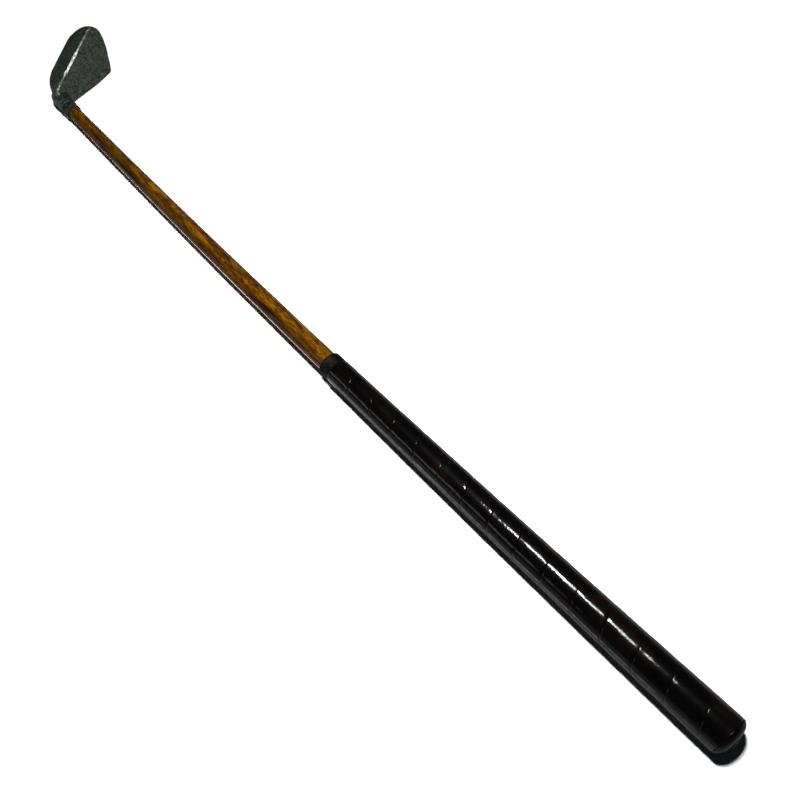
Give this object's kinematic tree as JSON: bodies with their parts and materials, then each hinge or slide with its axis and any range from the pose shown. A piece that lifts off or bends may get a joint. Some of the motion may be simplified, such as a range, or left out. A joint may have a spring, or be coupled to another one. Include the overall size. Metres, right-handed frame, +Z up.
{
  "type": "hickory golf putter",
  "caption": "Right-handed putter: cast mallet head with a short neck, bowed tapered hickory shaft, thread whippings and a grip of one spirally wound leather strip with a domed cap",
  "frame": {"origin": "Under the middle of the bounding box, on the table that the club lies on", "axes": "+X runs along the club from the butt of the grip to the head; +Z is up from the table; +Y lies level across the club, so that the toe of the head points mostly to +X and the head's back leans down to the table with the face turned up"},
  "size_m": [0.8642, 0.0784, 0.0506],
  "materials": {
    "cast_metal": "worn dull grey casting, mottled, with a bright worn front edge",
    "lead": "dull grey, slightly rough",
    "pin_steel": "dark, filed flush",
    "hickory": "amber varnish over dark grain streaks",
    "thread": "waxed black thread",
    "cloth": "plain undyed tape",
    "leather": "polished near-black leather",
    "tack_brass": "tarnished"
  },
  "bodies": {
    "root": {"head_casting": "cast_metal", "sole_weight": "lead", "neck_pin": "pin_steel", "hickory_shaft": "hickory", "neck_whipping": "thread", "grip_listing": "cloth", "grip_leather": "leather", "grip_whipping": "thread", "butt_cap": "leather", "butt_tack": "tack_brass"}
  },
  "joints": []
}
